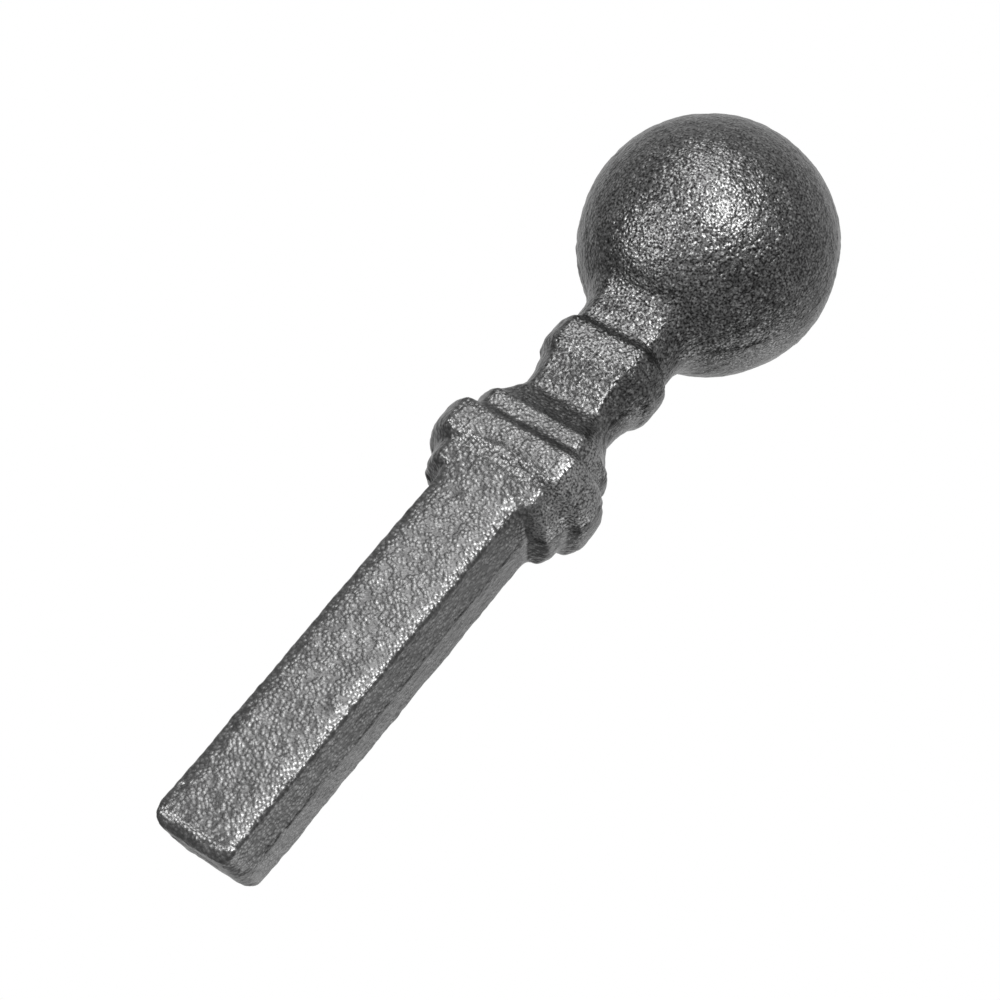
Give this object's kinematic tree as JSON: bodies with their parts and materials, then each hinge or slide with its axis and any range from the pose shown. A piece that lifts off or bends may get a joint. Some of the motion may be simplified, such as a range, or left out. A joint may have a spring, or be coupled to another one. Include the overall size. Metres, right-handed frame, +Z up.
{
  "type": "railing ball finial",
  "caption": "Cast iron ball finial for a railing post: a plain ball on a neck, a small vase and stacked mouldings, with a square shank below that enters the post.",
  "frame": {"origin": "on the axis at the seat, the underside of the lower bead, where the square shank leaves the post", "axes": "+Z up the axis from the shank to the ball; +Y from the front land to the back land, across the mould joint; +X along the mould joint"},
  "size_m": [0.05, 0.05, 0.1805],
  "materials": {
    "cast_iron": "as cast, bare grey iron with a sandy skin"
  },
  "bodies": {
    "root": {"finial_casting": "cast_iron"}
  },
  "joints": []
}
